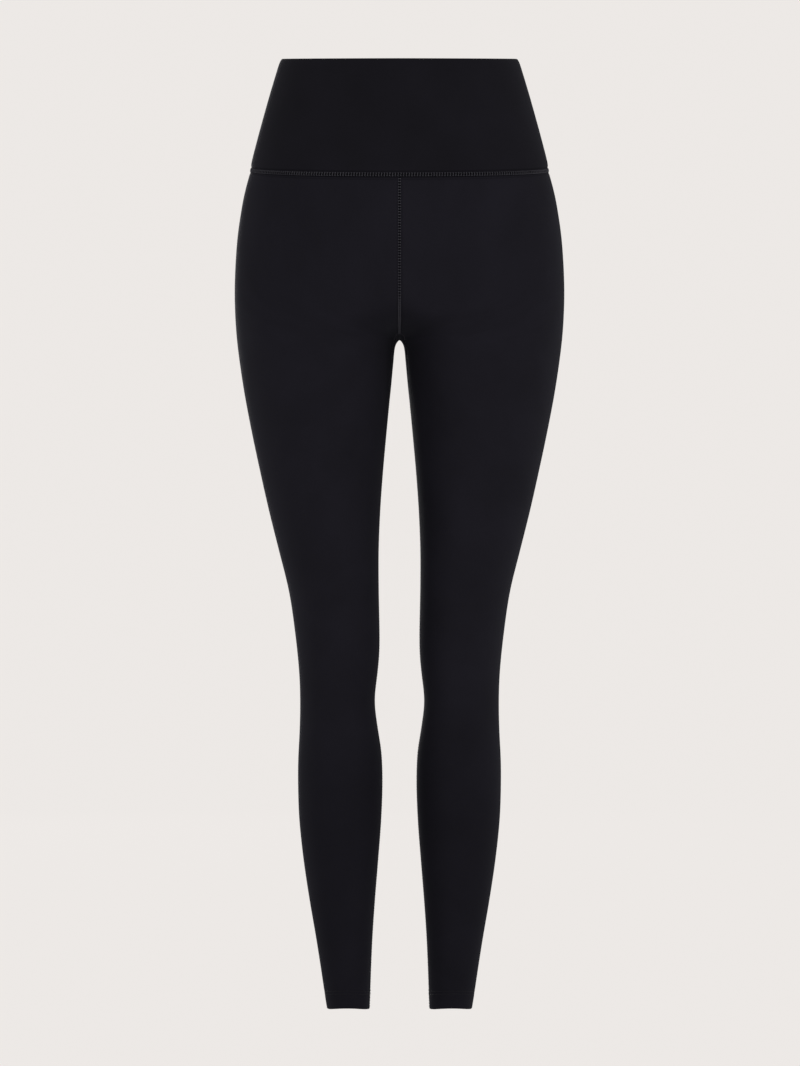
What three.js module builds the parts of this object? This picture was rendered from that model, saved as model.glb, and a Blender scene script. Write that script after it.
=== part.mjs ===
// High-waisted leggings in black stretch knit, filled out as if worn and held at the waist.
// A wide doubled waistband in a front and a back piece, one wrap-around panel for each leg with its only
// seam down the inside of the leg, and a diamond gusset where the four long seams meet.
// Millimetres, +Z up, the front faces -Y, and left and right are the wearer's, so the left leg is at +X.
// The origin is the middle of the waist opening, level with the waist edge at the sides, so a height is
// given below as a drop from there.
import * as THREE from 'three';
import { mergeVertices } from 'three/addons/utils/BufferGeometryUtils.js';

// Cloth walls
const CLOTH = 1.2; // one layer of thick interlock knit
const DOUBLED = 2.4; // two layers, in the waistband and the hems
const SEAM_GAP = 0.3; // between pieces that are sewn edge to edge
const SLANTED_GAP = 0.42; // the same gap along a row that meets the gusset's edge at about 45 degrees

// Lengths down the garment
const CROTCH_DROP = 290;
const HEM_DROP = 980;
const HEM_DEPTH = 20;
const HEM_EASE = 3; // the hem's second layer starts over this length
const HEM_RISE = 3; // the hem is cut this much higher at the front of the foot

// The waist edge and the seam under the waistband dip at the front and rise at the back
const WAIST_EDGE = { front: 8, side: 0, back: -4 };
const WAIST_SEAM = { front: 127, side: 115, back: 110 };
const SIDE_SEAM_BEHIND = 9; // the waistband's side seams, behind the widest point of each side

// The waistband's folded top edge leans in and is rounded
const EDGE_LEAN = 1.3;
const EDGE_LEAN_DEPTH = 7;
const EDGE_ROUNDING = 0.7;
const HEM_ROUNDING = 0.5;

// Horizontal sections of the outer face. side is the half width from the middle of the garment to the
// outside of the leg, front and back are how far it reaches before and behind the origin.
const SECTIONS = [
  { drop: -12, side: 118.3, front: 84, back: 88 },
  { drop: 0, side: 122.3, front: 86, back: 90 },
  { drop: 44, side: 135.5, front: 92, back: 95 },
  { drop: 106, side: 152.3, front: 98, back: 104 },
  { drop: 119, side: 154.6, front: 99, back: 107 },
  { drop: 136, side: 159.0, front: 100, back: 111 },
  { drop: 152, side: 162.4, front: 100, back: 115 },
  { drop: 183, side: 167.0, front: 99, back: 122 },
  { drop: 214, side: 169.3, front: 97, back: 127 },
  { drop: 245, side: 170.1, front: 95, back: 127.5 },
  { drop: 276, side: 169.0, front: 92, back: 122.5 },
  { drop: 301, side: 166.6, front: 90, back: 114.5 },
  { drop: 343, side: 160.4, front: 87, back: 99.5 },
  { drop: 384, side: 152.6, front: 84, back: 87.5 },
  { drop: 425, side: 143.8, front: 81, back: 79 },
  { drop: 466, side: 134.5, front: 78, back: 73 },
  { drop: 507, side: 124.2, front: 74, back: 67 },
  { drop: 549, side: 113.8, front: 69, back: 61 },
  { drop: 590, side: 107.7, front: 64, back: 56 },
  { drop: 631, side: 103.4, front: 60, back: 52 },
  { drop: 662, side: 102.3, front: 57, back: 51 },
  { drop: 693, side: 103.0, front: 52, back: 56 },
  { drop: 724, side: 104.7, front: 46, back: 65 },
  { drop: 755, side: 104.8, front: 41, back: 71 },
  { drop: 786, side: 103.6, front: 37, back: 73 },
  { drop: 827, side: 99.2, front: 33, back: 71 },
  { drop: 868, side: 93.0, front: 28, back: 64 },
  { drop: 909, side: 85.9, front: 24, back: 57 },
  { drop: 950, side: 79.5, front: 21, back: 52 },
  { drop: 980, side: 75.2, front: 20, back: 50 },
];

// The inside of each leg, measured from the middle of the garment
const INSIDE_LEG = [
  { drop: 290, inner: 0 },
  { drop: 297, inner: 4.6 },
  { drop: 312, inner: 6.2 },
  { drop: 343, inner: 9.0 },
  { drop: 384, inner: 12.9 },
  { drop: 425, inner: 16.6 },
  { drop: 466, inner: 19.5 },
  { drop: 507, inner: 21.1 },
  { drop: 549, inner: 21.0 },
  { drop: 590, inner: 20.2 },
  { drop: 612, inner: 20.4 },
  { drop: 631, inner: 22.0 },
  { drop: 662, inner: 25.2 },
  { drop: 693, inner: 21.6 },
  { drop: 714, inner: 18.4 },
  { drop: 745, inner: 17.2 },
  { drop: 786, inner: 18.6 },
  { drop: 827, inner: 21.7 },
  { drop: 868, inner: 25.0 },
  { drop: 909, inner: 27.7 },
  { drop: 950, inner: 29.4 },
  { drop: 980, inner: 30.2 },
];

// How square a section is: the exponent of its oval, where 2 is an ellipse
const FULLNESS = [
  { drop: -12, exponent: 2.1 },
  { drop: 120, exponent: 2.25 },
  { drop: 220, exponent: 2.4 },
  { drop: 290, exponent: 2.25 },
  { drop: 370, exponent: 2.1 },
  { drop: 980, exponent: 2.1 },
];

// The front is squarer just above the crotch, so that its outer corner runs down smoothly as the legs part
const FRONT_TOP = 160;
const FRONT_EXTRA = [
  { drop: 160, extra: 0 },
  { drop: 180, extra: 0.11 },
  { drop: 205, extra: 0.32 },
  { drop: 220, extra: 0.47 },
  { drop: 233, extra: 0.53 },
  { drop: 247, extra: 0.48 },
  { drop: 260, extra: 0.36 },
  { drop: 275, extra: 0.15 },
  { drop: 290, extra: 0 },
];

// Where the legs meet
const CREASE = 4; // rounds the hollow between the legs and the arch above the gap
const CLOSING_SLOPE = 0.28; // how fast the legs run together at the crotch, front to back
const FRONT_MERGE = 70; // height over which the two legs merge into one rounded front
const BACK_MERGE = 165; // the same behind, where the seat keeps a shallow hollow longer

// The gusset is a diamond. Its points lie this far from the crotch along the seams.
const GUSSET = { front: 38, back: 60, down: 76, halfWidth: 29 };
const GUSSET_POINT = 1.5; // its points stop this far short of the panels' notch

// How finely the faces are cut
const LEG_COLUMNS = 28;
const HIP_ROWS = 12;
const GUSSET_ROWS = 4;
const GUSSET_COLUMNS = 3;
const THIGH_ROWS = 4;
const SHANK_ROWS = 20;
const BAND_ROWS = 5;
const BAND_COLUMNS = 12;
const CURVE_SAMPLES = 240;
const STEP = 0.05; // for slopes found by difference

const mix = (from, to, share) => from + (to - from) * share;
const clamp = (value) => Math.min(Math.max(value, 0), 1);
const smooth = (share) => share * share * (3 - 2 * share);
const signedPower = (value, power) => Math.sign(value) * Math.abs(value) ** power;

// A smooth curve through one column of a table, read by drop
function through(table, valueOf) {
  const at = table.map((row) => row.drop);
  const value = table.map(valueOf);
  const last = at.length - 1;
  const slope = value.map((_, i) => {
    const before = Math.max(i - 1, 0);
    const after = Math.min(i + 1, last);
    return (value[after] - value[before]) / (at[after] - at[before]);
  });
  return (drop) => {
    let i = 0;
    while (i < last - 1 && drop > at[i + 1]) i += 1;
    const span = at[i + 1] - at[i];
    const t = (drop - at[i]) / span;
    const bend = smooth(t);
    return (
      mix(value[i], value[i + 1], bend) +
      span * (slope[i] * t * (1 - t) ** 2 - slope[i + 1] * t * t * (1 - t))
    );
  };
}

const sideAt = through(SECTIONS, (row) => Math.hypot(row.side, CREASE));
const frontAt = through(SECTIONS, (row) => row.front);
const backAt = through(SECTIONS, (row) => row.back);
const insideLegAt = through(INSIDE_LEG, (row) => Math.hypot(row.inner, CREASE));
const fullnessAt = through(FULLNESS, (row) => row.exponent);
const frontExtraAt = through(FRONT_EXTRA, (row) => row.extra);

// Above the crotch each leg's oval runs on past the middle, and is cut there. The further it runs past,
// the more the two legs have merged. merge is the height over which they do.
function innerAbove(drop, side, merge) {
  const height = CROTCH_DROP - drop;
  const share = clamp(height / merge);
  return CREASE - CLOSING_SLOPE * height * (1 - share) ** 2 - (side + CREASE) * smooth(share);
}

// The oval of one leg at a drop, with its own inner edge before and behind the side
function ovalAt(drop, isFront) {
  const side = sideAt(drop);
  const merge = isFront ? FRONT_MERGE : BACK_MERGE;
  const inner = drop >= CROTCH_DROP ? insideLegAt(drop) : innerAbove(drop, side, merge);
  const isSquarer = isFront && drop > FRONT_TOP && drop < CROTCH_DROP;
  return {
    middle: (side + inner) / 2,
    halfWidth: (side - inner) / 2,
    centre: (backAt(drop) - frontAt(drop)) / 2,
    depth: (backAt(drop) + frontAt(drop)) / 2,
    exponent: fullnessAt(drop) + (isSquarer ? frontExtraAt(drop) : 0),
  };
}

// A point of the outer face. turn is 0 at the side, and goes to -PI at the inside of the leg round the
// front, and to PI round the back.
function skin(turn, drop) {
  const oval = ovalAt(drop, turn < 0);
  const across = oval.middle + oval.halfWidth * signedPower(Math.cos(turn), 2 / oval.exponent);
  const along = oval.centre + oval.depth * signedPower(Math.sin(turn), 2 / oval.exponent);
  return new THREE.Vector3(Math.sqrt(Math.max(across ** 2 - CREASE ** 2, 0)), along, -drop);
}

// The turn where the oval meets the middle of the garment, or the inside of the leg below the crotch
function lastTurn(drop, isFront) {
  const oval = ovalAt(drop, isFront);
  const reach = Math.max((CREASE - oval.middle) / oval.halfWidth, -1);
  return Math.acos(signedPower(reach, oval.exponent / 2)) * (isFront ? -1 : 1);
}

// The outward direction of the face at a point on it, as the gradient of the oval's equation
function outward(point) {
  const level = (x, y, drop) => {
    const oval = ovalAt(drop, y < (backAt(drop) - frontAt(drop)) / 2);
    const across = Math.abs(Math.hypot(x, CREASE) - oval.middle) / oval.halfWidth;
    const along = Math.abs(y - oval.centre) / oval.depth;
    return across ** oval.exponent + along ** oval.exponent;
  };
  const { x, y, z } = point;
  const right = Math.abs(x);
  const direction = new THREE.Vector3(
    level(right + STEP, y, -z) - level(Math.abs(right - STEP), y, -z),
    level(right, y + STEP, -z) - level(right, y - STEP, -z),
    level(right, y, -z - STEP) - level(right, y, -z + STEP),
  );
  return direction.normalize();
}

// A row runs from the front seam round the side to the back seam, at its own drop at each of the three, and
// crosses both seams level. rise lifts it at the very front.
function traceRow(row) {
  const first = lastTurn(row.front, true);
  const last = lastTurn(row.back, false);
  const points = [];
  const lengths = [0];
  for (let i = 0; i <= CURVE_SAMPLES; i += 1) {
    const turn = mix(first, last, (1 - Math.cos((Math.PI * i) / CURVE_SAMPLES)) / 2);
    const end = turn < 0 ? first : last;
    const endDrop = turn < 0 ? row.front : row.back;
    const lift = turn < 0 ? row.rise * Math.sin(turn) ** 2 : 0;
    points.push(skin(turn, mix(row.side, endDrop, Math.sin((Math.PI / 2) * (turn / end))) - lift));
    if (i > 0) lengths.push(lengths[i - 1] + points[i].distanceTo(points[i - 1]));
  }
  return { points, lengths, length: lengths[CURVE_SAMPLES] };
}

function pointAlong(trace, distance) {
  let i = 1;
  while (i < CURVE_SAMPLES && trace.lengths[i] < distance) i += 1;
  const start = trace.lengths[i - 1];
  const share = (distance - start) / (trace.lengths[i] - start);
  return trace.points[i - 1].clone().lerp(trace.points[i], share);
}

function pointsBetween(trace, from, to, columns) {
  return Array.from({ length: columns + 1 }, (_, i) => pointAlong(trace, mix(from, to, i / columns)));
}

// The centre seam from the crotch up to the waist seam, which turns an arc length from the crotch into a drop
function centreSeam(top, isFront) {
  const drops = [];
  const lengths = [0];
  let before = null;
  for (let i = 0; i <= CURVE_SAMPLES; i += 1) {
    const drop = mix(CROTCH_DROP, top, (i / CURVE_SAMPLES) ** 2);
    const point = skin(lastTurn(drop, isFront), drop);
    if (before) lengths.push(lengths[i - 1] + point.distanceTo(before));
    drops.push(drop);
    before = point;
  }
  const dropAt = (distance) => {
    let i = 1;
    while (i < CURVE_SAMPLES && lengths[i] < distance) i += 1;
    return mix(drops[i - 1], drops[i], (distance - lengths[i - 1]) / (lengths[i] - lengths[i - 1]));
  };
  return { length: lengths[CURVE_SAMPLES], dropAt };
}

const frontSeam = centreSeam(WAIST_SEAM.front, true);
const backSeam = centreSeam(WAIST_SEAM.back, false);

// Rows over the hips. notch is how far the gusset reaches into the panel along the row.
function hipRows() {
  const rows = [];
  const total = HIP_ROWS + GUSSET_ROWS;
  for (let i = 0; i < total; i += 1) {
    const nearGusset = i - HIP_ROWS;
    const end = (seam, point) =>
      nearGusset < 0
        ? mix(seam.length, point, i / HIP_ROWS)
        : mix(point, 0, nearGusset / GUSSET_ROWS);
    rows.push({
      front: frontSeam.dropAt(end(frontSeam, GUSSET.front)),
      side: mix(WAIST_SEAM.side, CROTCH_DROP, i / total),
      back: backSeam.dropAt(end(backSeam, GUSSET.back)),
      rise: 0,
      notch: GUSSET.halfWidth * clamp(nearGusset / GUSSET_ROWS),
    });
  }
  return rows;
}

// Rows down the upper thigh, closer together at the inside where the gap between the legs opens
function thighRows() {
  const rows = [];
  for (let i = 0; i <= THIGH_ROWS; i += 1) {
    const share = i / THIGH_ROWS;
    const inside = mix(CROTCH_DROP, CROTCH_DROP + GUSSET.down, share ** 1.6);
    rows.push({
      front: inside,
      side: mix(CROTCH_DROP, CROTCH_DROP + GUSSET.down, share),
      back: inside,
      rise: 0,
      notch: GUSSET.halfWidth * (1 - (inside - CROTCH_DROP) / GUSSET.down),
    });
  }
  return rows;
}

// A row below the gusset, where the front of the leg rises little by little towards the hem
function shankRow(drop) {
  const share = (drop - CROTCH_DROP) / (HEM_DROP - CROTCH_DROP);
  return { front: drop, side: drop, back: drop, rise: HEM_RISE * share ** 3, notch: 0 };
}

function shankRows() {
  const top = CROTCH_DROP + GUSSET.down;
  const hemTop = HEM_DROP - HEM_DEPTH - HEM_EASE;
  const rows = [];
  for (let i = 1; i <= SHANK_ROWS; i += 1) rows.push(shankRow(mix(top, hemTop, i / SHANK_ROWS)));
  rows.push(shankRow(HEM_DROP - HEM_DEPTH), shankRow(HEM_DROP - HEM_ROUNDING), shankRow(HEM_DROP));
  return rows;
}

// How far the outer and the inner face of the wall lie inside the skin
function legWall(drop) {
  const hem = clamp((drop - (HEM_DROP - HEM_DEPTH - HEM_EASE)) / HEM_EASE);
  const rounding = HEM_ROUNDING * clamp((drop - HEM_DROP + HEM_ROUNDING) / HEM_ROUNDING);
  return { outer: rounding, inner: mix(CLOTH, DOUBLED, hem) - rounding };
}

function bandWall(belowEdge) {
  const lean = EDGE_LEAN * (1 - clamp(belowEdge / EDGE_LEAN_DEPTH)) ** 2;
  const rounding = EDGE_ROUNDING * (1 - clamp(belowEdge / EDGE_ROUNDING));
  return { outer: lean + rounding, inner: lean + DOUBLED - rounding };
}

const plainWall = () => ({ outer: 0, inner: CLOTH });

// One grid of a wall: its points on the skin, the wall at each row, and whether it is the right half's
function wallGrid(rows, wallOf, isRight = false) {
  const faceAt = (depthOf) =>
    rows.map((row, i) =>
      row.map((point) => {
        const placed = point.clone().addScaledVector(outward(point), -depthOf(wallOf(i)));
        if (isRight) placed.x = -placed.x;
        return placed;
      }),
    );
  return { outer: faceAt((wall) => wall.outer), inner: faceAt((wall) => wall.inner), isRight };
}

// Adds the triangles of a four-sided patch, leaving out those that have closed to nothing
function addQuad(triangles, a, b, c, d, turned) {
  for (const corners of [[a, b, c], [a, c, d]]) {
    const [p, q, r] = turned ? [corners[0], corners[2], corners[1]] : corners;
    const isClosed = p.distanceTo(q) < 1e-3 || q.distanceTo(r) < 1e-3 || r.distanceTo(p) < 1e-3;
    if (!isClosed) triangles.push(p, q, r);
  }
}

// Turns a grid into the two faces of a wall, and its rims on the sides named: top, bottom, first, last
function addWall(triangles, { outer, inner, isRight }, rims) {
  const bottom = outer.length - 1;
  const last = outer[0].length - 1;
  for (let i = 0; i < bottom; i += 1) {
    for (let j = 0; j < last; j += 1) {
      addQuad(triangles, outer[i][j], outer[i + 1][j], outer[i + 1][j + 1], outer[i][j + 1], isRight);
      addQuad(triangles, inner[i][j], inner[i][j + 1], inner[i + 1][j + 1], inner[i + 1][j], isRight);
    }
    if (rims.includes('first'))
      addQuad(triangles, outer[i][0], inner[i][0], inner[i + 1][0], outer[i + 1][0], isRight);
    if (rims.includes('last'))
      addQuad(triangles, outer[i][last], outer[i + 1][last], inner[i + 1][last], inner[i][last], isRight);
  }
  for (let j = 0; j < last; j += 1) {
    if (rims.includes('top'))
      addQuad(triangles, outer[0][j], outer[0][j + 1], inner[0][j + 1], inner[0][j], isRight);
    if (rims.includes('bottom')) {
      const [out, within] = [outer[bottom], inner[bottom]];
      addQuad(triangles, out[j], within[j], within[j + 1], out[j + 1], isRight);
    }
  }
}

function pieceOf(name, triangles, material) {
  const geometry = mergeVertices(new THREE.BufferGeometry().setFromPoints(triangles), 1e-3);
  geometry.computeVertexNormals();
  const mesh = new THREE.Mesh(geometry, material);
  mesh.name = name;
  return mesh;
}

// One leg: from the waist seam to the hem, and from the front seam round the outside to the back seam
function legPanel(name, isRight, material) {
  const rows = [...hipRows(), ...thighRows(), ...shankRows()];
  const grid = rows.map((row) => {
    const trace = traceRow(row);
    const margin = Math.max(SEAM_GAP / 2, row.notch + (row.notch > 0 ? SLANTED_GAP : 0));
    return pointsBetween(trace, margin, trace.length - margin, LEG_COLUMNS);
  });
  const wallOf = (i) => legWall(rows[i].side);
  const triangles = [];
  addWall(triangles, wallGrid(grid, wallOf, isRight), ['top', 'bottom', 'first', 'last']);
  return pieceOf(name, triangles, material);
}

// The gusset is four strips, front and back on each side, that share the seams they meet along
function gusset(name, material) {
  const hips = hipRows().slice(HIP_ROWS);
  const thighs = thighRows();
  const bottom = thighs.length - 1;
  hips[0] = {
    ...hips[0],
    front: frontSeam.dropAt(GUSSET.front - GUSSET_POINT),
    back: backSeam.dropAt(GUSSET.back - GUSSET_POINT),
  };
  const lowest = CROTCH_DROP + GUSSET.down - GUSSET_POINT;
  thighs[bottom] = { ...thighs[bottom], front: lowest, back: lowest };
  const rows = [...hips, ...thighs];
  const triangles = [];
  for (const isRight of [false, true]) {
    const traces = rows.map(traceRow);
    const frontStrip = traces.map((trace, i) => pointsBetween(trace, 0, rows[i].notch, GUSSET_COLUMNS));
    const backStrip = traces.map((trace, i) =>
      pointsBetween(trace, trace.length - rows[i].notch, trace.length, GUSSET_COLUMNS),
    );
    addWall(triangles, wallGrid(frontStrip, plainWall, isRight), ['last']);
    addWall(triangles, wallGrid(backStrip, plainWall, isRight), ['first']);
  }
  return pieceOf(name, triangles, material);
}

// Half of the waistband, from the centre to the side seam. belowEdge is each row's distance under the
// folded edge.
function bandRows() {
  const height = WAIST_SEAM.side - SEAM_GAP;
  const edge = [0, EDGE_ROUNDING, EDGE_LEAN_DEPTH / 2];
  const below = Array.from({ length: BAND_ROWS + 1 }, (_, i) =>
    mix(EDGE_LEAN_DEPTH, height, i / BAND_ROWS),
  );
  return [...edge, ...below].map((belowEdge) => {
    const share = belowEdge / WAIST_SEAM.side;
    const dropAt = (where) => mix(WAIST_EDGE[where], WAIST_SEAM[where], share);
    return { front: dropAt('front'), side: dropAt('side'), back: dropAt('back'), rise: 0, belowEdge };
  });
}

// Arc length from the front centre to the side seam, a little behind the widest point of the side
function sideSeamAlong(trace) {
  const widest = trace.points.reduce((best, point, i) => (point.x > trace.points[best].x ? i : best), 0);
  return trace.lengths[widest] + SIDE_SEAM_BEHIND;
}

function waistbandPiece(name, isFront, material) {
  const rows = bandRows();
  const half = rows.map((row) => {
    const trace = traceRow(row);
    const seam = sideSeamAlong(trace);
    return isFront
      ? pointsBetween(trace, 0, seam - SEAM_GAP / 2, BAND_COLUMNS)
      : pointsBetween(trace, seam + SEAM_GAP / 2, trace.length, BAND_COLUMNS);
  });
  const openEdge = isFront ? 'last' : 'first';
  const wallOf = (i) => bandWall(rows[i].belowEdge);
  const triangles = [];
  for (const isRight of [false, true])
    addWall(triangles, wallGrid(half, wallOf, isRight), ['top', 'bottom', openEdge]);
  return pieceOf(name, triangles, material);
}

const legCloth = new THREE.MeshStandardMaterial({ color: 0x1b1b1f, roughness: 0.78, metalness: 0 });
const bandCloth = new THREE.MeshStandardMaterial({ color: 0x19191d, roughness: 0.74, metalness: 0 });

const leggings = new THREE.Group();
leggings.add(
  waistbandPiece('waistband_front', true, bandCloth),
  waistbandPiece('waistband_back', false, bandCloth),
  legPanel('leg_left', false, legCloth),
  legPanel('leg_right', true, legCloth),
  gusset('gusset', legCloth),
);

export default leggings;
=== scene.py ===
# High-waisted leggings in black stretch knit, filled out as if worn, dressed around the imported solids.
# Sizes are in millimetres, as in the solids, and a point is carried to metres where a piece is made.
import math
from bisect import bisect_right
from collections import namedtuple

import bmesh
import bpy
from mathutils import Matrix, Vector


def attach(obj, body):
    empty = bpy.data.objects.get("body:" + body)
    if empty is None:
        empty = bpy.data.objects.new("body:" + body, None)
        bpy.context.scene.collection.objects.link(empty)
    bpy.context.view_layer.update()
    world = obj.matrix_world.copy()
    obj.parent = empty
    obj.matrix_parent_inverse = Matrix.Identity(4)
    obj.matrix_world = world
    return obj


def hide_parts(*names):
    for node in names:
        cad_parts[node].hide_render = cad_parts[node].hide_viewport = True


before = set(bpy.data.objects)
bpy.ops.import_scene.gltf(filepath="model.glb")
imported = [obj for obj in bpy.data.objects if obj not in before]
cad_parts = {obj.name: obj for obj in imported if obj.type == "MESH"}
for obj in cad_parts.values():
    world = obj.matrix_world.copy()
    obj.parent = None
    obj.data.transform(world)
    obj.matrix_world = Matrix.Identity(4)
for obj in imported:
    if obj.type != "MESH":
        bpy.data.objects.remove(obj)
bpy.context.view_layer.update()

MM = 0.001

# Lengths down the garment, as drops from the waist edge at the sides
CROTCH_DROP = 290
HEM_DROP = 980
HEM_RISE = 3  # the hem is cut this much higher at the front of the foot

Level = namedtuple("Level", "front side back")
WAIST_EDGE = Level(8, 0, -4)
WAIST_SEAM = Level(127, 115, 110)
SIDE_SEAM_BEHIND = 9  # the waistband's side seams, behind the widest point of each side
EDGE_LEAN = 1.3  # how far the waistband's top edge leans in
EDGE_LEAN_DEPTH = 7  # over this height

# Horizontal sections: half width from the middle to the outside, and the reach before and behind the origin
Section = namedtuple("Section", "drop side front back")
SECTIONS = [
    Section(-12, 118.3, 84, 88),
    Section(0, 122.3, 86, 90),
    Section(44, 135.5, 92, 95),
    Section(106, 152.3, 98, 104),
    Section(119, 154.6, 99, 107),
    Section(136, 159.0, 100, 111),
    Section(152, 162.4, 100, 115),
    Section(183, 167.0, 99, 122),
    Section(214, 169.3, 97, 127),
    Section(245, 170.1, 95, 127.5),
    Section(276, 169.0, 92, 122.5),
    Section(301, 166.6, 90, 114.5),
    Section(343, 160.4, 87, 99.5),
    Section(384, 152.6, 84, 87.5),
    Section(425, 143.8, 81, 79),
    Section(466, 134.5, 78, 73),
    Section(507, 124.2, 74, 67),
    Section(549, 113.8, 69, 61),
    Section(590, 107.7, 64, 56),
    Section(631, 103.4, 60, 52),
    Section(662, 102.3, 57, 51),
    Section(693, 103.0, 52, 56),
    Section(724, 104.7, 46, 65),
    Section(755, 104.8, 41, 71),
    Section(786, 103.6, 37, 73),
    Section(827, 99.2, 33, 71),
    Section(868, 93.0, 28, 64),
    Section(909, 85.9, 24, 57),
    Section(950, 79.5, 21, 52),
    Section(980, 75.2, 20, 50),
]

# The inside of each leg, measured from the middle of the garment
Inside = namedtuple("Inside", "drop inner")
INSIDE_LEG = [
    Inside(290, 0),
    Inside(297, 4.6),
    Inside(312, 6.2),
    Inside(343, 9.0),
    Inside(384, 12.9),
    Inside(425, 16.6),
    Inside(466, 19.5),
    Inside(507, 21.1),
    Inside(549, 21.0),
    Inside(590, 20.2),
    Inside(612, 20.4),
    Inside(631, 22.0),
    Inside(662, 25.2),
    Inside(693, 21.6),
    Inside(714, 18.4),
    Inside(745, 17.2),
    Inside(786, 18.6),
    Inside(827, 21.7),
    Inside(868, 25.0),
    Inside(909, 27.7),
    Inside(950, 29.4),
    Inside(980, 30.2),
]

# How square a section is: the exponent of its oval, where 2 is an ellipse
Fullness = namedtuple("Fullness", "drop exponent")
FULLNESS = [
    Fullness(-12, 2.1),
    Fullness(120, 2.25),
    Fullness(220, 2.4),
    Fullness(290, 2.25),
    Fullness(370, 2.1),
    Fullness(980, 2.1),
]

# The front is squarer just above the crotch, so that its outer corner runs down smoothly as the legs part
FRONT_TOP = 160
FRONT_EXTRA = [
    Fullness(160, 0),
    Fullness(180, 0.11),
    Fullness(205, 0.32),
    Fullness(220, 0.47),
    Fullness(233, 0.53),
    Fullness(247, 0.48),
    Fullness(260, 0.36),
    Fullness(275, 0.15),
    Fullness(290, 0),
]

# Where the legs meet
CREASE = 4  # rounds the hollow between the legs and the arch above the gap
CLOSING_SLOPE = 0.28  # how fast the legs run together at the crotch, front to back
FRONT_MERGE = 70  # height over which the two legs merge into one rounded front
BACK_MERGE = 165  # the same behind, where the seat keeps a shallow hollow longer

# The gusset's points, as lengths from the crotch along the seams
GUSSET_FRONT = 38
GUSSET_BACK = 60
GUSSET_DOWN = 76
GUSSET_HALF_WIDTH = 29
HIP_SHARE = 0.75  # the part of the way down the hip, at the side, that lies above the gusset's front point
GUSSET_TOP = WAIST_SEAM.side + HIP_SHARE * (CROTCH_DROP - WAIST_SEAM.side)
GUSSET_END = CROTCH_DROP + GUSSET_DOWN
THIGH_CROWDING = 1.6  # a power that crowds the rows towards the crotch, at the inside of the thigh

# Cloth
LAYER = 1.1  # one layer of thick interlock knit
FOLD = 1.2  # radius of a fold, half of the doubled cloth
WAIST_GAP = 0.3  # between the waistband and the legs, under the stitching

CURVE_SAMPLES = 160
STEP = 0.05  # for slopes found by difference


def mix(start, end, share):
    return start + (end - start) * share


def clamp(value):
    return min(max(value, 0), 1)


def smooth(share):
    return share * share * (3 - 2 * share)


def bell(distance, width):
    return math.exp(-((distance / width) ** 2))


def signed_power(value, power):
    return math.copysign(abs(value) ** power, value)


def through(table, value_of):
    """A smooth curve through one column of a table, read by drop"""
    at = [row.drop for row in table]
    value = [value_of(row) for row in table]
    last = len(at) - 1
    slope = []
    for i in range(last + 1):
        before = max(i - 1, 0)
        after = min(i + 1, last)
        slope.append((value[after] - value[before]) / (at[after] - at[before]))

    def read(drop):
        i = min(max(bisect_right(at, drop) - 1, 0), last - 1)
        span = at[i + 1] - at[i]
        t = (drop - at[i]) / span
        lean = slope[i] * t * (1 - t) ** 2 - slope[i + 1] * t * t * (1 - t)
        return mix(value[i], value[i + 1], smooth(t)) + span * lean

    return read


side_at = through(SECTIONS, lambda row: math.hypot(row.side, CREASE))
front_at = through(SECTIONS, lambda row: row.front)
back_at = through(SECTIONS, lambda row: row.back)
inside_leg_at = through(INSIDE_LEG, lambda row: math.hypot(row.inner, CREASE))
fullness_at = through(FULLNESS, lambda row: row.exponent)
front_extra_at = through(FRONT_EXTRA, lambda row: row.exponent)

Oval = namedtuple("Oval", "middle half_width centre depth exponent")


def oval_at(drop, is_front):
    """The oval of one leg. Above the crotch it runs on past the middle, the further the more the legs have
    merged, and is cut there."""
    side = side_at(drop)
    if drop >= CROTCH_DROP:
        inner = inside_leg_at(drop)
    else:
        height = CROTCH_DROP - drop
        share = clamp(height / (FRONT_MERGE if is_front else BACK_MERGE))
        inner = CREASE - CLOSING_SLOPE * height * (1 - share) ** 2 - (side + CREASE) * smooth(share)
    front = front_at(drop)
    back = back_at(drop)
    exponent = fullness_at(drop)
    if is_front and FRONT_TOP < drop < CROTCH_DROP:
        exponent += front_extra_at(drop)
    return Oval((side + inner) / 2, (side - inner) / 2, (back - front) / 2, (back + front) / 2, exponent)


def skin(turn, drop):
    """A point of the outer face. turn is 0 at the side, and goes to -pi at the inside of the leg round the
    front, and to pi round the back."""
    oval = oval_at(drop, turn < 0)
    across = oval.middle + oval.half_width * signed_power(math.cos(turn), 2 / oval.exponent)
    along = oval.centre + oval.depth * signed_power(math.sin(turn), 2 / oval.exponent)
    return Vector((math.sqrt(max(across**2 - CREASE**2, 0)), along, -drop))


def last_turn(drop, is_front):
    """The turn where the oval meets the middle of the garment, or the inside of the leg below the crotch"""
    oval = oval_at(drop, is_front)
    reach = max((CREASE - oval.middle) / oval.half_width, -1)
    return math.acos(signed_power(reach, oval.exponent / 2)) * (-1 if is_front else 1)


def fullness_of(x, y, drop):
    """The oval's equation: 1 on the outer face, and more outside it"""
    oval = oval_at(drop, y < (back_at(drop) - front_at(drop)) / 2)
    across = abs(math.hypot(x, CREASE) - oval.middle) / oval.half_width
    along = abs(y - oval.centre) / oval.depth
    return across**oval.exponent + along**oval.exponent


def outward(point):
    """The outward direction of the face at a point on it, as the gradient of the oval's equation"""
    right = abs(point.x)
    y = point.y
    drop = -point.z
    gradient = Vector((
        fullness_of(right + STEP, y, drop) - fullness_of(abs(right - STEP), y, drop),
        fullness_of(right, y + STEP, drop) - fullness_of(right, y - STEP, drop),
        fullness_of(right, y, drop - STEP) - fullness_of(right, y, drop + STEP),
    ))
    if point.x < 0:
        gradient.x = -gradient.x
    return gradient.normalized()


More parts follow.
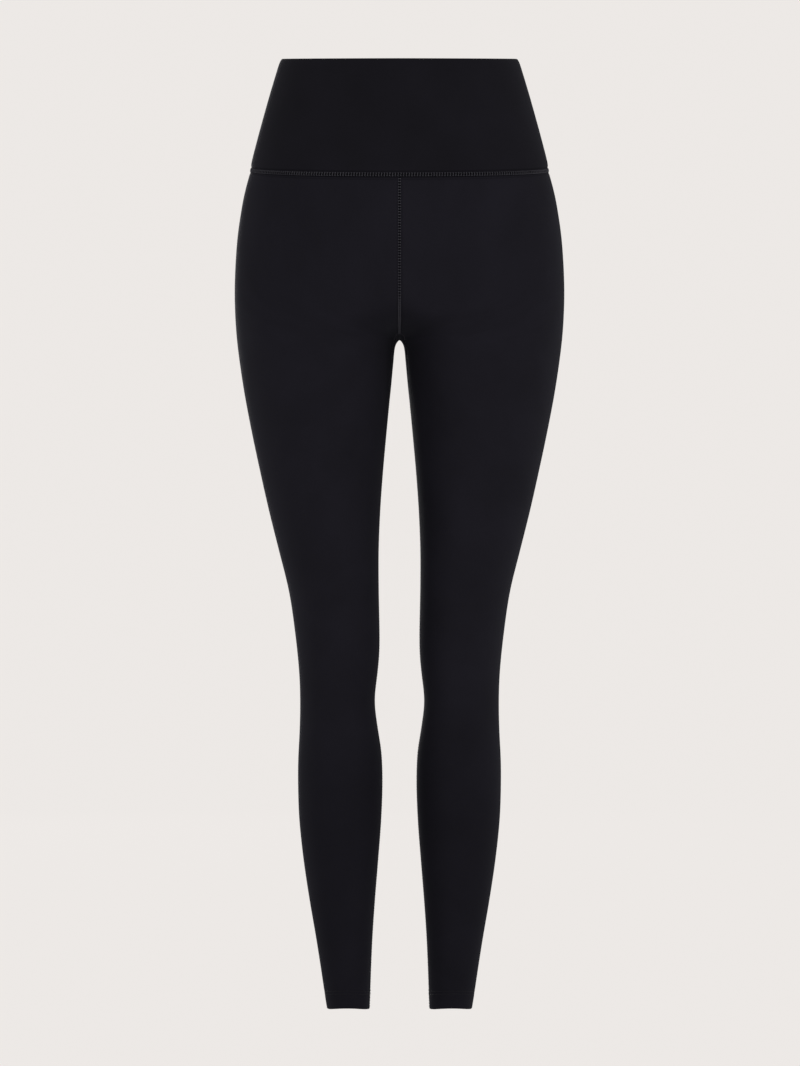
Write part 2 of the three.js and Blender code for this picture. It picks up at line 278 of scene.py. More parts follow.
# A row runs from the front seam round the side to the back seam, at its own drop at each of the three.
# notch is how far the gusset reaches into the panel along it, and rise lifts it at the very front.
Row = namedtuple("Row", "front side back notch rise")


class Trace:
    """A row followed in small steps, so that a length along it gives a point"""

    def __init__(self, row):
        first = last_turn(row.front, True)
        last = last_turn(row.back, False)
        self.points = []
        self.lengths = [0]
        for i in range(CURVE_SAMPLES + 1):
            turn = mix(first, last, (1 - math.cos(math.pi * i / CURVE_SAMPLES)) / 2)
            end, end_drop = (first, row.front) if turn < 0 else (last, row.back)
            lift = row.rise * math.sin(turn) ** 2 if turn < 0 else 0
            drop = mix(row.side, end_drop, math.sin(math.pi / 2 * turn / end)) - lift
            self.points.append(skin(turn, drop))
            if i:
                self.lengths.append(self.lengths[-1] + (self.points[i] - self.points[i - 1]).length)
        self.length = self.lengths[-1]

    def at(self, distance):
        i = min(max(bisect_right(self.lengths, distance), 1), CURVE_SAMPLES)
        start = self.lengths[i - 1]
        share = (distance - start) / (self.lengths[i] - start)
        return self.points[i - 1].lerp(self.points[i], share)

    def side_seam(self):
        """The length from the front centre to the waistband's side seam"""
        widest = max(range(len(self.points)), key=lambda i: self.points[i].x)
        return self.lengths[widest] + SIDE_SEAM_BEHIND


class CentreSeam:
    """The front or back seam from the crotch up to the waist seam: a length from the crotch gives a drop"""

    def __init__(self, top, is_front):
        self.is_front = is_front
        self.drops = [mix(CROTCH_DROP, top, (i / CURVE_SAMPLES) ** 2) for i in range(CURVE_SAMPLES + 1)]
        points = [self.point(drop) for drop in self.drops]
        self.lengths = [0]
        for before, point in zip(points, points[1:]):
            self.lengths.append(self.lengths[-1] + (point - before).length)
        self.length = self.lengths[-1]

    def point(self, drop):
        return skin(last_turn(drop, self.is_front), drop)

    def drop_at(self, distance):
        i = min(max(bisect_right(self.lengths, distance), 1), CURVE_SAMPLES)
        start = self.lengths[i - 1]
        share = (distance - start) / (self.lengths[i] - start)
        return mix(self.drops[i - 1], self.drops[i], share)


front_seam = CentreSeam(WAIST_SEAM.front, True)
back_seam = CentreSeam(WAIST_SEAM.back, False)


def leg_row(side_drop):
    """The row of a leg panel that lies at a drop at the side"""
    if side_drop < CROTCH_DROP:
        share = (side_drop - WAIST_SEAM.side) / (CROTCH_DROP - WAIST_SEAM.side)
        above = share / HIP_SHARE
        beside = (share - HIP_SHARE) / (1 - HIP_SHARE)

        def drop_on(seam, point):
            return seam.drop_at(mix(seam.length, point, above) if above < 1 else mix(point, 0, beside))

        return Row(
            drop_on(front_seam, GUSSET_FRONT), side_drop, drop_on(back_seam, GUSSET_BACK),
            GUSSET_HALF_WIDTH * clamp(beside), 0,
        )
    share = (side_drop - CROTCH_DROP) / GUSSET_DOWN
    if share < 1:
        inside = mix(CROTCH_DROP, GUSSET_END, share**THIGH_CROWDING)
        return Row(inside, side_drop, inside, GUSSET_HALF_WIDTH * (GUSSET_END - inside) / GUSSET_DOWN, 0)
    share = (side_drop - CROTCH_DROP) / (HEM_DROP - CROTCH_DROP)
    return Row(side_drop, side_drop, side_drop, 0, HEM_RISE * share**3)


def band_row(below_edge):
    """The row of the waistband at a distance under its folded edge"""
    share = below_edge / WAIST_SEAM.side
    return Row(*(mix(edge, seam, share) for edge, seam in zip(WAIST_EDGE, WAIST_SEAM)), 0, 0)


# Relief of the cloth at a stitched seam, by the distance from it: a bed that the stitching has sunk into
# the cloth, a groove along each side of the stitching, and a shallow pull beyond
WAIST_ROWS = 1.55  # how far each needle row lies from the waist seam
LONG_ROWS = 1.05  # the same at the centre, gusset and inside-leg seams
BED_DEPTH = 0.7
GROOVE_BEYOND = 1.5  # from the needle row to the middle of the groove
GROOVE_WIDTH = 0.7
LEG_GROOVE = 0.5  # depth in one layer
BAND_GROOVE = 0.65  # depth in the waistband's thicker cloth
PULL_DEPTH = 0.3
PULL_WIDTH = 9
PAINTED_SHADE_FROM = 0.6  # relief deeper than this is painted darker: painted shade on the pressed cloth in the stitching's bed and grooves
PAINTED_SHADE_OVER = 0.5


def stitched_relief(distance, rows, groove_depth=LEG_GROOVE):
    bed = BED_DEPTH * smooth(clamp(rows + 1 - distance))
    groove = groove_depth * bell(distance - rows - GROOVE_BEYOND, GROOVE_WIDTH)
    return -max(bed, groove) - PULL_DEPTH * bell(distance, PULL_WIDTH)


# A seam with no stitching on its face, where both edges turn in
TURN_IN_DEPTH = 0.9
TURN_IN_WIDTH = 1.1
TURN_IN_PULL = 0.25
TURN_IN_PULL_WIDTH = 6


def plain_relief(distance):
    turn_in = TURN_IN_DEPTH * bell(distance, TURN_IN_WIDTH)
    return -turn_in - TURN_IN_PULL * bell(distance, TURN_IN_PULL_WIDTH)


# The hem is held by two sunken rows of stitches, and the cloth draws in a little below them
HEM_STITCHES = (15.5, 18.5)  # above the hem
HEM_DIMPLE = 0.22
HEM_DIMPLE_WIDTH = 0.9
HEM_TUCK = 0.3


def hem_relief(rise):
    dimples = sum(bell(rise - stitches, HEM_DIMPLE_WIDTH) for stitches in HEM_STITCHES)
    return -HEM_DIMPLE * dimples - HEM_TUCK * smooth(clamp(1 - rise / HEM_STITCHES[0]))


# How far points lie from a seam, edge or hem where the cloth bends closely
NEAR_STITCHES = (0, 0.9, 1.7, 2.4, 3.1, 3.8, 4.8, 7, 11, 18)
NEAR_PLAIN_SEAM = (0, 0.6, 1.4, 2.8, 6, 12)
NEAR_WAIST_FOLD = (0, 1.6, 3.6, 7, 12)
INSIDE_WAIST_FOLD = (0, 3, 10)
INSIDE_WAIST_SEAM = (0, 4, 12)
NEAR_HEM = (21.5, 20, 18.5, 17, 15.5, 14, 11, 7, 3.5, FOLD)
INSIDE_HEM = (FOLD, 4, 8, 12, 15, 17, 18.6, 20)
ABOVE_HEM = 24  # where the even steps down the leg end

# How many even steps there are between
FOLD_STEPS = 6
HIP_STEPS = 20
NOTCH_STEPS = 8  # beside the gusset, above the crotch
THIGH_STEPS = 12
SHANK_STEPS = 56
LEG_STEPS_ROUND = 36
BAND_STEPS_INSIDE = 8
BAND_STEPS_OUTSIDE = 9
BAND_STEPS_ROUND = 34
GUSSET_STEPS_ABOVE = 10  # above the crotch
GUSSET_STEPS_BELOW = 16


def even_steps(start, end, count):
    return [mix(start, end, i / count) for i in range(1, count + 1)]


def spread(start, end, near_start, near_end, between):
    """Values from start to end, close together as given near each end, with so many even steps between"""
    head = [start + offset for offset in near_start]
    tail = [end - offset for offset in reversed(near_end)]
    return head + even_steps(head[-1], tail[0], between) + tail[1:]


# A place on a sheet: its point and its spot on the flat cloth, both in metres, and how far stitching has
# pressed it in, from 0 to 1, which the knit's material paints as shade
Place = namedtuple("Place", "at uv pressed")


def placed(point, depth, across, down, relief=0):
    sunk = point - outward(point) * (depth - relief)
    return Place(sunk * MM, (across * MM, -down * MM), clamp((-relief - PAINTED_SHADE_FROM) / PAINTED_SHADE_OVER))


def mirror_point(point):
    return Vector((-point.x, point.y, point.z))


def mirror_grid(grid):
    return [[Place(mirror_point(at), (-uv[0], uv[1]), pressed) for at, uv, pressed in row] for row in grid]


def fold():
    """Rise and depth of points round a fold, from its outer face to its inner one"""
    turns = [math.pi * i / FOLD_STEPS for i in range(1, FOLD_STEPS)]
    return [(FOLD * (1 - math.sin(turn)), FOLD * (1 - math.cos(turn))) for turn in turns]


def leg_profile():
    """Drop and depth of a leg's cloth from the waist seam down to the hem, round its fold and up inside"""
    drops = spread(WAIST_SEAM.side, GUSSET_TOP, NEAR_STITCHES, (0,), HIP_STEPS)
    drops += even_steps(GUSSET_TOP, CROTCH_DROP, NOTCH_STEPS)
    drops += even_steps(CROTCH_DROP, GUSSET_END, THIGH_STEPS)
    drops += even_steps(GUSSET_END, HEM_DROP - ABOVE_HEM, SHANK_STEPS)
    outer = [(drop, 0) for drop in drops]
    outer += [(HEM_DROP - rise, 0) for rise in NEAR_HEM]
    hem = [(HEM_DROP - rise, depth) for rise, depth in fold()]
    inner = [(HEM_DROP - rise, 2 * FOLD) for rise in INSIDE_HEM]
    return outer + hem + inner


def leg_grid():
    """The left leg's cloth, row by row from the waist seam"""
    grid = []
    down = 0
    before = (WAIST_SEAM.side, 0)
    for drop, depth in leg_profile():
        row = leg_row(drop)
        trace = Trace(row)
        start = row.notch
        end = trace.length - start
        down += math.hypot(drop - before[0], depth - before[1])
        before = (drop, depth)
        from_waist = stitched_relief(drop - WAIST_SEAM.side, WAIST_ROWS)
        places = []
        for along in spread(start, end, NEAR_STITCHES, NEAR_STITCHES, LEG_STEPS_ROUND):
            relief = -HEM_TUCK
            if depth == 0:
                from_seam = stitched_relief(min(along - start, end - along), LONG_ROWS)
                relief = min(from_seam, from_waist) + hem_relief(HEM_DROP - drop)
            places.append(placed(trace.at(along), depth, along, down, relief))
        grid.append(places)
    return grid


def band_profile():
    """Distance under the edge and depth of the waistband, from its seam up inside, round its fold and down"""
    height = WAIST_SEAM.side - WAIST_GAP
    inside = spread(FOLD, height, INSIDE_WAIST_FOLD, INSIDE_WAIST_SEAM, BAND_STEPS_INSIDE)
    outside = spread(FOLD, height, NEAR_WAIST_FOLD, NEAR_STITCHES, BAND_STEPS_OUTSIDE)
    inner = [(below, 2 * FOLD) for below in reversed(inside)]
    outer = [(below, 0) for below in outside]
    return inner + fold()[::-1] + outer


def band_grid(is_front):
    """The front or the back waistband's cloth, row by row, from side seam to side seam"""
    grid = []
    down = 0
    before = None
    for below, depth in band_profile():
        trace = Trace(band_row(below))
        seam = trace.side_seam()
        reach = seam if is_front else trace.length - seam
        lean = EDGE_LEAN * (1 - clamp(below / EDGE_LEAN_DEPTH)) ** 2
        if before:
            down += math.hypot(below - before[0], depth - before[1])
        before = (below, depth)
        places = []
        for across in spread(-reach, reach, NEAR_PLAIN_SEAM, NEAR_PLAIN_SEAM, BAND_STEPS_ROUND):
            from_centre = abs(across)
            point = trace.at(from_centre if is_front else trace.length - from_centre)
            relief = plain_relief(reach - from_centre)
            if depth == 0:
                relief = min(relief, stitched_relief(WAIST_SEAM.side - below, WAIST_ROWS, BAND_GROOVE))
            place = placed(point, lean + depth, across, down, relief)
            place.at.x = math.copysign(place.at.x, across if is_front else -across)
            places.append(place)
        grid.append(places)
    return grid


# Where its columns lie from the middle to its edge, closer together near the stitching
GUSSET_SHARES = (0, 0.16, 0.32, 0.46, 0.58, 0.68, 0.76, 0.83, 0.89, 0.95, 1)


def gusset_grid(is_front):
    """One quarter of the gusset, from its front or back point to its point down the left leg"""
    reach = GUSSET_FRONT if is_front else GUSSET_BACK
    corner = Vector((reach, GUSSET_DOWN)).normalized() * GUSSET_HALF_WIDTH
    tip = Vector((0, reach))
    low_point = Vector((GUSSET_DOWN, 0))
    drops = [GUSSET_TOP, *even_steps(GUSSET_TOP, CROTCH_DROP, GUSSET_STEPS_ABOVE)]
    drops += even_steps(CROTCH_DROP, GUSSET_END, GUSSET_STEPS_BELOW)
    grid = []
    for drop in drops:
        row = leg_row(drop)
        trace = Trace(row)
        spanned = row.notch / GUSSET_HALF_WIDTH
        if drop <= CROTCH_DROP:
            seam_flat = tip * (1 - spanned)
            edge_flat = tip.lerp(corner, spanned)
        else:
            seam_flat = low_point * (1 - spanned)
            edge_flat = low_point.lerp(corner, spanned)
        places = []
        for part in GUSSET_SHARES:
            along = row.notch * part
            relief = stitched_relief(row.notch - along, LONG_ROWS)
            flat = seam_flat.lerp(edge_flat, part)
            point = trace.at(along if is_front else trace.length - along)
            places.append(placed(point, 0, flat.x, flat.y if is_front else -flat.y, relief))
        grid.append(places if is_front else places[::-1])
    return grid


def add_sheet(bm, grid, is_turned):
    """Adds an even grid whose points are carried to their places"""
    down = len(grid) - 1
    across = len(grid[0]) - 1
    # Each point's share of deep relief, which the knit's material paints as shade in the stitching's bed and
    # grooves
    pressed = bm.verts.layers.float.get("pressed") or bm.verts.layers.float.new("pressed")
    cloth = bm.loops.layers.uv.active or bm.loops.layers.uv.new("cloth")
    verts = bmesh.ops.create_grid(bm, x_segments=across, y_segments=down, size=1)["verts"]
    places = {
        vert: grid[round((1 - vert.co.y) / 2 * down)][round((vert.co.x + 1) / 2 * across)] for vert in verts
    }
    faces = list({face for vert in verts for face in vert.link_faces})
    for face in faces:
        for loop in face.loops:
            loop[cloth].uv = places[loop.vert].uv
    for vert, place in places.items():
        vert.co = place.at
        vert[pressed] = place.pressed
    if is_turned:
        bmesh.ops.reverse_faces(bm, faces=faces)


def piece_from(name, data):
    piece = bpy.data.objects.new(name, data)
    bpy.context.scene.collection.objects.link(piece)
    return piece


def mesh_piece(name, bm):
    mesh = bpy.data.meshes.new(name)
    bm.normal_update()
    bm.to_mesh(mesh)
    bm.free()
    mesh.shade_smooth()
    return piece_from(name, mesh)


def sheet_piece(name, grids, node, material):
    """A sheet of knit as a thin shell that replaces its node. grids are pairs of a grid and whether its faces
    are turned over."""
    bm = bmesh.new()
    for grid, is_turned in grids:
        add_sheet(bm, grid, is_turned)
    bmesh.ops.remove_doubles(bm, verts=bm.verts, dist=0.01 * MM)
    area = sum(face.calc_area() for face in bm.faces)
    piece = mesh_piece(name, bm)
    piece.data.materials.append(material)
    wall = piece.modifiers.new("one layer of knit", "SOLIDIFY")
    wall.thickness = LAYER * MM
    wall.offset = -1
    wall.use_quality_normals = True
    wall.edge_crease_outer = 1
    wall.edge_crease_inner = 1
    wall.edge_crease_rim = 1
    rounding = piece.modifiers.new("rounded edges", "SUBSURF")
    rounding.levels = 1
    rounding.render_levels = 1
    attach(piece, "root")
    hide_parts(node)
    return piece


# Colours and materials
def linear(colour):
    """An sRGB hex colour as linear red, green, blue and alpha"""
    parts = [int(colour[i:i + 2], 16) / 255 for i in (1, 3, 5)]
    return (*(part / 12.92 if part <= 0.04045 else ((part + 0.055) / 1.055) ** 2.4 for part in parts), 1)


def new_material(name):
    material = bpy.data.materials.new(name)
    material.use_nodes = True
    tree = material.node_tree
    return material, tree, tree.nodes["Principled BSDF"]


def add_node(tree, kind, inputs, **settings):
    """Adds a node with its settings. Each input is a value, or the socket that feeds it."""
    node = tree.nodes.new(kind)
    for name, value in settings.items():
        setattr(node, name, value)
    for key, value in inputs.items():
        if isinstance(value, bpy.types.NodeSocket):
            tree.links.new(value, node.inputs[key])
        else:
            node.inputs[key].default_value = value
    return node


PER_METRE = 1000
WALE = 1.1  # between columns of stitches, drawn coarser than the real 0.7 so that a near view shows them
COURSE = 0.9  # between rows of stitches
NAP = 1.6  # length of the brushed nap's clumps
CLOUD = 70  # size of the faint lighter and darker areas
PAINTED_SHADE_BLACK = "#07070A"  # painted shade: the black painted on the flattened cloth under and beside the stitching, where it lies in shade
# Below the knee the knit is painted darker down the shins: painted shade for the shins, which turn a little
# downward, away from the lights, together with the closer loops of the knit, which is stretched less there
KNEE = -0.5  # down the flat cloth, in metres from the waist seam
SHIN = -0.68
PAINTED_SHIN_SHADE = 0.22


def knit_height(tree, flat, nap):
    """Relief of the knit: upright ribs made of slanting loops, under the nap"""
    part = add_node(tree, "ShaderNodeSeparateXYZ", {"Vector": flat}).outputs
    ribs = add_node(tree, "ShaderNodeMath", {0: part["X"], 1: PER_METRE / WALE}, operation="MULTIPLY")
    rib = add_node(tree, "ShaderNodeMath", {0: ribs.outputs[0], 1: 0.5}, operation="PINGPONG")
    rows = {0: part["Y"], 1: PER_METRE / COURSE, 2: rib.outputs[0]}
    slanted = add_node(tree, "ShaderNodeMath", rows, operation="MULTIPLY_ADD")
    loop = add_node(tree, "ShaderNodeMath", {0: slanted.outputs[0], 1: 0.5}, operation="PINGPONG")
    loops = {0: loop.outputs[0], 1: 0.45, 2: rib.outputs[0]}
    relief = add_node(tree, "ShaderNodeMath", loops, operation="MULTIPLY_ADD")
    brushed = {0: nap, 1: 0.5, 2: relief.outputs[0]}
    return add_node(tree, "ShaderNodeMath", brushed, operation="MULTIPLY_ADD").outputs[0]


def brushed_interlock(name, dark, light):
    """Black polyamide and elastane interlock, knitted fine and brushed: matt, with fine upright ribs near to,
    and a soft bloom from the nap where the cloth turns away from the eye. Its colour carries painted shade:
    darker in the stitching's bed and grooves, where the nap is pressed flat, and darker down the shins."""
    material, tree, shader = new_material(name)
    flat = add_node(tree, "ShaderNodeUVMap", {}, uv_map="cloth").outputs["UV"]
    nap_grain = {"Vector": flat, "Scale": PER_METRE / NAP, "Detail": 3, "Roughness": 0.6}
    nap = add_node(tree, "ShaderNodeTexNoise", nap_grain).outputs["Fac"]
    cloud_grain = {"Vector": flat, "Scale": PER_METRE / CLOUD, "Detail": 4, "Roughness": 0.55}
    clouds = add_node(tree, "ShaderNodeTexNoise", cloud_grain).outputs["Fac"]
    relief = {"Height": knit_height(tree, flat, nap), "Strength": 0.35, "Distance": 0.12 * MM}
    bump = add_node(tree, "ShaderNodeBump", relief)
    shade = add_node(tree, "ShaderNodeMath", {0: nap, 1: 0.5, 2: clouds}, operation="MULTIPLY_ADD")
    tone = add_node(tree, "ShaderNodeMapRange", {"Value": shade.outputs[0], "From Min": 0.5, "From Max": 1})
    colours = {0: tone.outputs[0], 6: linear(dark), 7: linear(light)}
    colour = add_node(tree, "ShaderNodeMix", colours, data_type="RGBA")
    # Painted shade: the stitching's bed and grooves are painted darker, by each point's share of deep relief
    pressed = add_node(tree, "ShaderNodeAttribute", {}, attribute_name="pressed").outputs["Fac"]
    down = add_node(tree, "ShaderNodeSeparateXYZ", {"Vector": flat}).outputs["Y"]
    # Painted shade, darker down the shins
    lower_leg = {"Value": down, "From Min": KNEE, "From Max": SHIN, "To Min": 0, "To Max": PAINTED_SHIN_SHADE}
    shin_shade_painted = add_node(tree, "ShaderNodeMapRange", lower_leg, interpolation_type="SMOOTHSTEP").outputs[0]
    # The darker of the two painted shades, of the stitching and of the shins, counts
    painted_shade_share = add_node(tree, "ShaderNodeMath", {0: pressed, 1: shin_shade_painted}, operation="MAXIMUM").outputs[0]
    shades = {0: painted_shade_share, 6: colour.outputs[2], 7: linear(PAINTED_SHADE_BLACK)}
    shaded = add_node(tree, "ShaderNodeMix", shades, data_type="RGBA")
    gloss = {"Value": painted_shade_share, "To Min": 0.2, "To Max": 0.03}
    glossy = add_node(tree, "ShaderNodeMapRange", gloss)
    tree.links.new(shaded.outputs[2], shader.inputs["Base Color"])
    tree.links.new(glossy.outputs[0], shader.inputs["Specular IOR Level"])
    tree.links.new(bump.outputs[0], shader.inputs["Normal"])
    shader.inputs["Roughness"].default_value = 0.88
    shader.inputs["Sheen Weight"].default_value = 0.08
    shader.inputs["Sheen Roughness"].default_value = 0.5
    shader.inputs["Sheen Tint"].default_value = linear("#8A8A94")
    return material


PLY = 0.5  # length of one turn of the thread's plies


def spun_polyester(name, colour):
    """Black textured polyester sewing thread: a little smoother than the cloth, so that each stitch catches a
    point of light"""
    material, tree, shader = new_material(name)
    place = add_node(tree, "ShaderNodeTexCoord", {}).outputs["Object"]
    ply_grain = {"Vector": place, "Scale": PER_METRE / PLY, "Detail": 2, "Roughness": 0.5}
    plies = add_node(tree, "ShaderNodeTexNoise", ply_grain).outputs["Fac"]
    bump = add_node(tree, "ShaderNodeBump", {"Height": plies, "Strength": 0.4, "Distance": 0.08 * MM})
    tree.links.new(bump.outputs[0], shader.inputs["Normal"])
    shader.inputs["Base Color"].default_value = linear(colour)
    shader.inputs["Roughness"].default_value = 0.5
    shader.inputs["Specular IOR Level"].default_value = 0.3
    return material


# Stitching
STITCH_LENGTH = 2.8
NEEDLE_THREAD = 0.26  # radius
COVER_THREAD = 0.3  # radius of the looser, fuller thread that covers the seam
SEAM_STEPS = 120
# One needle stitch, as shares of its length and heights over the bed: in, over and out
NEEDLE_STITCH = ((-0.34, -0.5), (-0.22, 0.2), (0.22, 0.2), (0.34, -0.5))
# One loop of the covering thread: share of the stitch, distance across the seam as a share of the rows',
# and height over the bed. It crosses upright on top, and goes back slanting, sunk in the seam.
COVER_LOOP = (
    (0.45, -1.1, 0.4),
    (0.48, -0.5, 0.6),
    (0.52, 0.5, 0.6),
    (0.55, 1.1, 0.4),
    (0.8, 0.5, -0.6),
    (1.2, -0.5, -0.6),
)


class SeamPath:
    """A seam followed along the outer face, in small steps"""

    def __init__(self, points, is_closed=False):
        self.points = points
        self.lengths = [0]
        for before, point in zip(points, points[1:]):
            self.lengths.append(self.lengths[-1] + (point - before).length)
        self.length = self.lengths[-1]
        self.outs = [outward(point) for point in points]
        ends = (points[-2], points[1]) if is_closed else (points[0], points[-1])
        around = [ends[0], *points, ends[1]]
        self.across = [
            out.cross(after - before).normalized()
            for out, before, after in zip(self.outs, around, around[2:])
        ]

    def at(self, along, aside, lift):
        """A point along the seam, to its side and over the face, in metres"""
        i = min(max(bisect_right(self.lengths, along), 1), len(self.points) - 1)
        start = self.lengths[i - 1]
        share = (along - start) / (self.lengths[i] - start)
        guides = (self.points, self.outs, self.across)
        point, out, across = (guide[i - 1].lerp(guide[i], share) for guide in guides)
        return (point + across * aside + out * lift) * MM


def add_thread(curve, points, radius):
    spline = curve.splines.new("POLY")
    spline.points.add(len(points) - 1)
    spline.points.foreach_set("co", [value for point in points for value in (*point, 1)])
    spline.points.foreach_set("radius", [radius] * len(points))
    spline.use_smooth = True


def stitch_count(path):
    return max(round(path.length / STITCH_LENGTH), 1)


def add_needle_row(curve, path, aside, height_of):
    """One row of needle stitches. height_of turns a height over the cloth into one over the skin."""
    count = stitch_count(path)
    for i in range(count):
        stitch = [
            path.at((i + 0.5 + share) * path.length / count, aside, height_of(aside, height))
            for share, height in NEEDLE_STITCH
        ]
        add_thread(curve, stitch, NEEDLE_THREAD)


def add_cover_thread(curve, path, rows, height_of):
    count = stitch_count(path)
    loops = [
        path.at((i + share) * path.length / count, part * rows, height_of(part * rows, height))
        for i in range(count) for share, part, height in COVER_LOOP
    ]
    add_thread(curve, loops, COVER_THREAD)


def outside_height(rows):
    def height_of(aside, height):
        return stitched_relief(abs(aside), rows) + height
    return height_of


def inside_height(rows, depth_above=LAYER, depth_below=LAYER):
    """Heights for stitching on the inner face, where the cloth may be doubled above the seam"""
    def height_of(aside, height):
        depth = mix(depth_below, depth_above, clamp((aside + FOLD) / (2 * FOLD)))
        return stitched_relief(abs(aside), rows) - depth - height
    return height_of


def thread_piece(name, sew, material):
    curve = bpy.data.curves.new(name, "CURVE")
    curve.dimensions = "3D"
    curve.bevel_depth = MM
    curve.bevel_resolution = 1
    curve.use_fill_caps = True
    sew(curve)
    piece = piece_from(name, curve)
    curve.materials.append(material)
    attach(piece, "root")
    return piece


def flatlock(name, paths, material, rows=LONG_ROWS, depth_above=LAYER):
    """Flatlock stitching: two needle rows joined by a covering thread, on both faces of the cloth"""
    def sew(curve):
        for path in paths:
            for height_of in (outside_height(rows), inside_height(rows, depth_above)):
                add_needle_row(curve, path, rows, height_of)
                add_needle_row(curve, path, -rows, height_of)
                add_cover_thread(curve, path, rows, height_of)
    return thread_piece(name, sew, material)


def mirror_points(points):
    return [mirror_point(point) for point in points]


def round_points(trace):
    return [trace.at(trace.length * i / SEAM_STEPS) for i in range(SEAM_STEPS + 1)]


def waist_path():
    half = round_points(Trace(leg_row(WAIST_SEAM.side)))
    return SeamPath(half + mirror_points(half[-2::-1]), is_closed=True)


BELOW_WAIST_STITCHES = 1.5  # where the centre seams' stitching starts, under the waist seam's needle row


def centre_path(seam, gusset_point):
    """From under the waist seam's stitching down to the gusset's point"""
    start = seam.length - WAIST_ROWS - BELOW_WAIST_STITCHES
    lengths = [start, *even_steps(start, gusset_point, SEAM_STEPS)]
    return SeamPath([seam.point(seam.drop_at(length)) for length in lengths])


def gusset_edge(is_front):
    points = []
    for drop in (GUSSET_TOP, *even_steps(GUSSET_TOP, GUSSET_END, SEAM_STEPS)):
        row = leg_row(drop)
        trace = Trace(row)
        points.append(trace.at(row.notch if is_front else trace.length - row.notch))
    return points


def inseam():
    drops = [GUSSET_END, *even_steps(GUSSET_END, HEM_DROP - FOLD, SEAM_STEPS)]
    return [skin(last_turn(drop, True), drop) for drop in drops]


def both_sides(points):
    return [SeamPath(points), SeamPath(mirror_points(points))]


def sew_seams(thread):
    flatlock("stitches_waist", [waist_path()], thread, WAIST_ROWS, 2 * FOLD)
    flatlock("stitches_centre_front", [centre_path(front_seam, GUSSET_FRONT)], thread)
    flatlock("stitches_centre_back", [centre_path(back_seam, GUSSET_BACK)], thread)
    flatlock("stitches_gusset", both_sides(gusset_edge(True)) + both_sides(gusset_edge(False)), thread)
    for name, path in zip(("stitches_inseam_left", "stitches_inseam_right"), both_sides(inseam())):
        flatlock(name, [path], thread)


SUNKEN_FLATNESS = 0.5  # how high the hem's stitches bow, as a share of a seam's
SUNKEN_DEPTH = 0.12  # of the stitches under the bottom of their dimples


def sunken_height(aside, height):
    return height * SUNKEN_FLATNESS - HEM_DIMPLE - SUNKEN_DEPTH


def sew_hems(thread):
    """Two sunken needle rows round each hem, with the covering thread inside, over the turned-up edge"""
    ring = round_points(Trace(leg_row(HEM_DROP - sum(HEM_STITCHES) / 2)))
    rows = (HEM_STITCHES[1] - HEM_STITCHES[0]) / 2
    depth = 2 * FOLD + HEM_TUCK

    def hem_threads(path):
        def sew(curve):
            add_needle_row(curve, path, rows, sunken_height)
            add_needle_row(curve, path, -rows, sunken_height)
            add_cover_thread(curve, path, rows, inside_height(rows, depth, depth))
        return sew

    for name, points in (("stitches_hem_left", ring), ("stitches_hem_right", mirror_points(ring))):
        thread_piece(name, hem_threads(SeamPath(points, is_closed=True)), thread)


# The stage, lights and camera, in metres
STAGE_COLOUR = "#EDE9E6"
STAGE_GLOW = 0.995  # the share of its tone that the sweep gives off by itself, which keeps it even
STAGE_SHADE = "#121111"  # what the lights add their little to
FLOOR = -0.995
FLOOR_RADIUS = 7.0
COVE_RADIUS = 3.0
COVE_STEPS = 12
STEPS_ROUND_STAGE = 96
WALL_TOP = 7.0
SURROUND_COLOUR = "#ECECF2"
SURROUND_STRENGTH = 0.375


def stage():
    """A pale floor that sweeps up all round into a wall, with no edge for the eye to find"""
    material, tree, shader = new_material("pale paper sweep")
    shader.inputs["Base Color"].default_value = linear(STAGE_SHADE)
    shader.inputs["Roughness"].default_value = 1
    shader.inputs["Specular IOR Level"].default_value = 0
    shader.inputs["Emission Color"].default_value = linear(STAGE_COLOUR)
    shader.inputs["Emission Strength"].default_value = STAGE_GLOW
    profile = [(0, 0), (FLOOR_RADIUS / 2, 0), (FLOOR_RADIUS, 0)]
    for i in range(1, COVE_STEPS + 1):
        turn = math.pi / 2 * i / COVE_STEPS
        profile.append((FLOOR_RADIUS + COVE_RADIUS * math.sin(turn), COVE_RADIUS * (1 - math.cos(turn))))
    profile.append((FLOOR_RADIUS + COVE_RADIUS, WALL_TOP))
    bm = bmesh.new()
    verts = [bm.verts.new((radius, 0, FLOOR + height)) for radius, height in profile]
    edges = [bm.edges.new(pair) for pair in zip(verts, verts[1:])]
    bmesh.ops.spin(
        bm,
        geom=verts + edges,
        cent=(0, 0, 0),
        axis=(0, 0, 1),
        angle=math.tau,
        steps=STEPS_ROUND_STAGE,
        use_merge=True,
    )
    bmesh.ops.remove_doubles(bm, verts=bm.verts, dist=0.001)
    bmesh.ops.recalc_face_normals(bm, faces=bm.faces)
    sweep = mesh_piece("paper_sweep", bm)
    sweep.data.materials.append(material)
    sweep.visible_diffuse = False
    sweep.visible_glossy = False
    sweep.visible_shadow = False


def surround():
    world = bpy.data.worlds.new("pale studio")
    bpy.context.scene.world = world
    world.use_nodes = True
    background = world.node_tree.nodes["Background"]
    background.inputs["Color"].default_value = linear(SURROUND_COLOUR)
    background.inputs["Strength"].default_value = SURROUND_STRENGTH


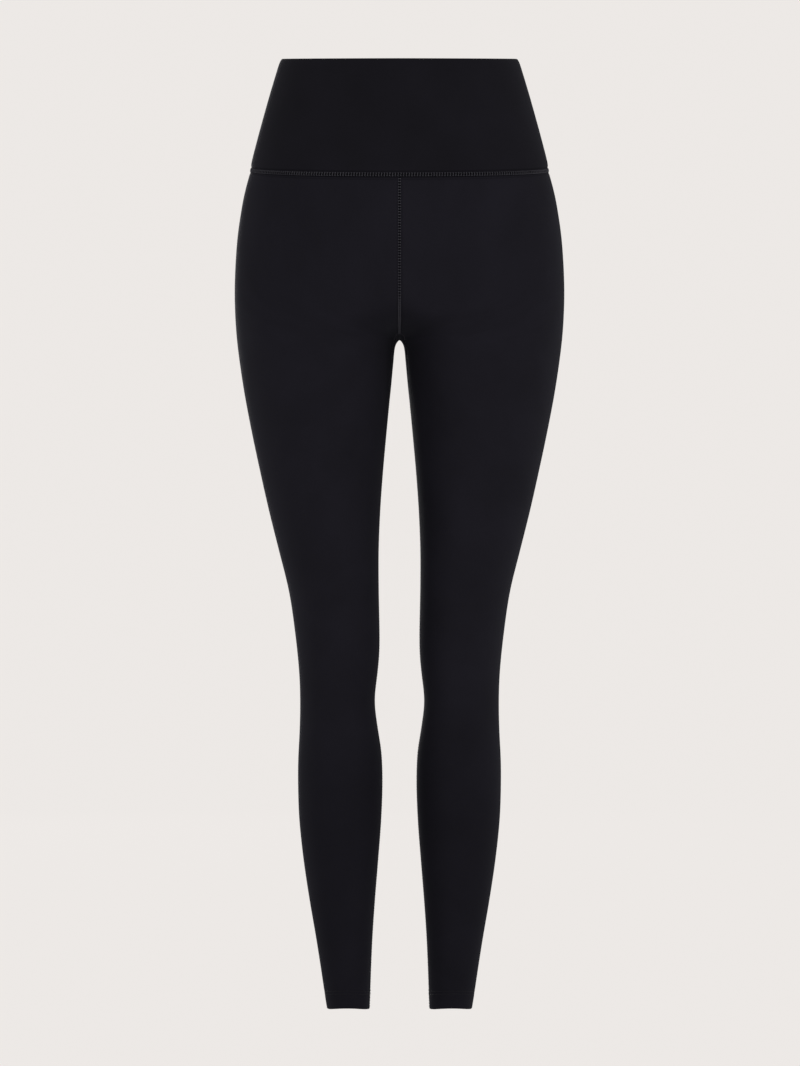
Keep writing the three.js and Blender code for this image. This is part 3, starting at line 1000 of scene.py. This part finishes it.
def soft_light(name, at, aim, width, height, power):
    lamp = bpy.data.lights.new(name, "AREA")
    lamp.shape = "RECTANGLE"
    lamp.size = width
    lamp.size_y = height
    lamp.energy = power
    light = piece_from(name, lamp)
    light.location = at
    light.rotation_euler = (Vector(aim) - Vector(at)).to_track_quat("-Z", "Y").to_euler()
    light.visible_camera = False


CAMERA_DISTANCE = 5.0
LENS = 164.0
FRAME_MIDDLE = Vector((0.0005, 0, -0.489))


def camera():
    eye = bpy.data.cameras.new("camera")
    eye.lens = LENS
    eye.sensor_width = 36
    seen_from = piece_from("camera", eye)
    seen_from.location = FRAME_MIDDLE - Vector((0, CAMERA_DISTANCE, 0))
    seen_from.rotation_euler = (math.pi / 2, 0, 0)
    bpy.context.scene.camera = seen_from
    bpy.context.scene.view_settings.view_transform = "Standard"


def dress():
    leg_knit = brushed_interlock("brushed interlock knit", "#15131A", "#1C1A22")
    band_knit = brushed_interlock("brushed interlock knit, doubled", "#110F15", "#17151C")
    left = leg_grid()
    sheet_piece("leg_left_cloth", [(left, False)], "leg_left", leg_knit)
    sheet_piece("leg_right_cloth", [(mirror_grid(left), True)], "leg_right", leg_knit)
    quarters = [gusset_grid(True), gusset_grid(False)]
    grids = [(grid, False) for grid in quarters] + [(mirror_grid(grid), True) for grid in quarters]
    sheet_piece("gusset_cloth", grids, "gusset", leg_knit)
    for name, is_front in (("waistband_front", True), ("waistband_back", False)):
        sheet_piece(name + "_cloth", [(band_grid(is_front), False)], name, band_knit)
    # The seam thread's grey is lighter than black thread: partly its own tone and partly painted highlight
    # for the point of light on each stitch
    sew_seams(spun_polyester("black polyester thread", "#47454B"))
    sew_hems(spun_polyester("black polyester thread, dull", "#0E0D10"))


camera()
stage()
surround()
soft_light("key", (0, -3.6, -0.2), (0, 0, -0.4), 2.6, 1.6, 28)
soft_light("right", (2.8, -2.4, -0.2), (0, 0, -0.45), 0.8, 2.0, 22)
soft_light("left", (-3.4, -0.5, -0.2), (0, 0, -0.5), 0.8, 2.0, 10)
soft_light("back", (-0.8, 3.6, 0.2), (0, 0, -0.4), 1.6, 1.6, 40)
dress()
